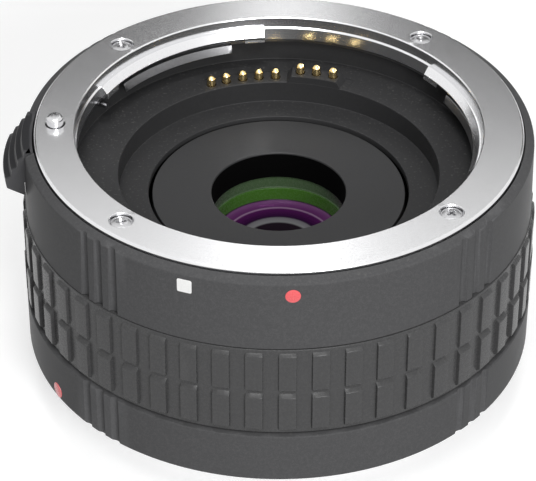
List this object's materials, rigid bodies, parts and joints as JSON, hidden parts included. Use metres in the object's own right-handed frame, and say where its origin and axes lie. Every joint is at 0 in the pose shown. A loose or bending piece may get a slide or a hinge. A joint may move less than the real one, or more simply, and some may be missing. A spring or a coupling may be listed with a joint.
{
  "type": "camera teleconverter",
  "caption": "Short ring-shaped teleconverter for a camera, with a female bayonet in front, a male bayonet behind, a ribbed grip, a release lever and spring contacts.",
  "frame": {"origin": "on the optical axis, in the plane of the rear seat that meets the camera body", "axes": "+Z along the optical axis towards the lens that goes in front, +X to the right of the index marks, -Y towards the index marks"},
  "size_m": [0.0719, 0.0698, 0.0412],
  "materials": {
    "bayonet_steel": "satin silver plate, lightly worn",
    "screw_steel": "bright screw heads",
    "spring_steel": "spring steel, plain",
    "pin_steel": "polished",
    "black_shell": "black, fine textured satin coat",
    "black_lever": "black moulded, satin",
    "inner_black": "matt black anodised",
    "liner_plastic": "matt black moulded",
    "contact_plastic": "satin black moulded",
    "black_screw": "blackened",
    "grip_rubber": "matt black rubber",
    "contact_gold": "gold plated, polished",
    "board_green": "glass fibre board, green mask",
    "chip_black": "moulded",
    "flex_amber": "polyimide film",
    "coated_glass": "coated, green and purple glints",
    "inner_glass": "polished",
    "index_red": "smooth paint in a recess",
    "index_white": "smooth paint in a recess"
  },
  "bodies": {
    "housing": {"front_bayonet_ring": "bayonet_steel", "rear_bayonet_ring": "bayonet_steel", "front_ring_screws": "screw_steel", "rear_ring_screws": "screw_steel", "barrel_flange_screws": "screw_steel", "mount_leaf_springs": "spring_steel", "lock_spring": "spring_steel", "lens_stop_pin": "spring_steel", "contact_spring_1": "spring_steel", "contact_spring_2": "spring_steel", "contact_spring_3": "spring_steel", "contact_spring_4": "spring_steel", "contact_spring_5": "spring_steel", "contact_spring_6": "spring_steel", "contact_spring_7": "spring_steel", "contact_spring_8": "spring_steel", "front_barrel": "black_shell", "rear_barrel": "black_shell", "lens_barrel": "inner_black", "baffle_disc": "inner_black", "rear_retaining_ring": "inner_black", "front_spacer": "inner_black", "rear_spacer": "inner_black", "front_cell_ring": "inner_black", "front_liner": "liner_plastic", "rear_shroud": "liner_plastic", "front_contact_block": "contact_plastic", "rear_contact_block": "contact_plastic", "liner_screws": "black_screw", "contact_block_screws": "black_screw", "grip_ring": "grip_rubber", "rear_contact_pads": "contact_gold", "front_contact_board": "board_green", "rear_contact_board": "board_green", "control_chip": "chip_black", "flex_strip": "flex_amber", "front_lens": "coated_glass", "rear_lens_back": "coated_glass", "doublet_front": "inner_glass", "doublet_rear": "inner_glass", "rear_lens_front": "inner_glass", "front_index_dot": "index_red", "rear_index_dot": "index_red", "front_index_square": "index_white"},
    "release": {"release_lever": "black_lever", "lock_carrier": "pin_steel", "lever_screws": "screw_steel", "lock_pin": "pin_steel"},
    "pin_1": {"contact_pin_1": "contact_gold"},
    "pin_2": {"contact_pin_2": "contact_gold"},
    "pin_3": {"contact_pin_3": "contact_gold"},
    "pin_4": {"contact_pin_4": "contact_gold"},
    "pin_5": {"contact_pin_5": "contact_gold"},
    "pin_6": {"contact_pin_6": "contact_gold"},
    "pin_7": {"contact_pin_7": "contact_gold"},
    "pin_8": {"contact_pin_8": "contact_gold"}
  },
  "joints": [
    {"name": "release_slide", "type": "slide", "parent": "housing", "child": "release", "axis": [0, 0, -1], "range_m": [0, 0.0017], "stiffness_N_per_m": 400, "springref_m": -0.003, "deforming": ["lock_spring"]},
    {"name": "pin_1_slide", "type": "slide", "parent": "housing", "child": "pin_1", "axis": [0, 0, -1], "range_m": [0, 0.0005], "stiffness_N_per_m": 300, "springref_m": -0.0006, "deforming": ["contact_spring_1"]},
    {"name": "pin_2_slide", "type": "slide", "parent": "housing", "child": "pin_2", "axis": [0, 0, -1], "range_m": [0, 0.0005], "stiffness_N_per_m": 300, "springref_m": -0.0006, "deforming": ["contact_spring_2"]},
    {"name": "pin_3_slide", "type": "slide", "parent": "housing", "child": "pin_3", "axis": [0, 0, -1], "range_m": [0, 0.0005], "stiffness_N_per_m": 300, "springref_m": -0.0006, "deforming": ["contact_spring_3"]},
    {"name": "pin_4_slide", "type": "slide", "parent": "housing", "child": "pin_4", "axis": [0, 0, -1], "range_m": [0, 0.0005], "stiffness_N_per_m": 300, "springref_m": -0.0006, "deforming": ["contact_spring_4"]},
    {"name": "pin_5_slide", "type": "slide", "parent": "housing", "child": "pin_5", "axis": [0, 0, -1], "range_m": [0, 0.0005], "stiffness_N_per_m": 300, "springref_m": -0.0006, "deforming": ["contact_spring_5"]},
    {"name": "pin_6_slide", "type": "slide", "parent": "housing", "child": "pin_6", "axis": [0, 0, -1], "range_m": [0, 0.0005], "stiffness_N_per_m": 300, "springref_m": -0.0006, "deforming": ["contact_spring_6"]},
    {"name": "pin_7_slide", "type": "slide", "parent": "housing", "child": "pin_7", "axis": [0, 0, -1], "range_m": [0, 0.0005], "stiffness_N_per_m": 300, "springref_m": -0.0006, "deforming": ["contact_spring_7"]},
    {"name": "pin_8_slide", "type": "slide", "parent": "housing", "child": "pin_8", "axis": [0, 0, -1], "range_m": [0, 0.0005], "stiffness_N_per_m": 300, "springref_m": -0.0006, "deforming": ["contact_spring_8"]}
  ]
}
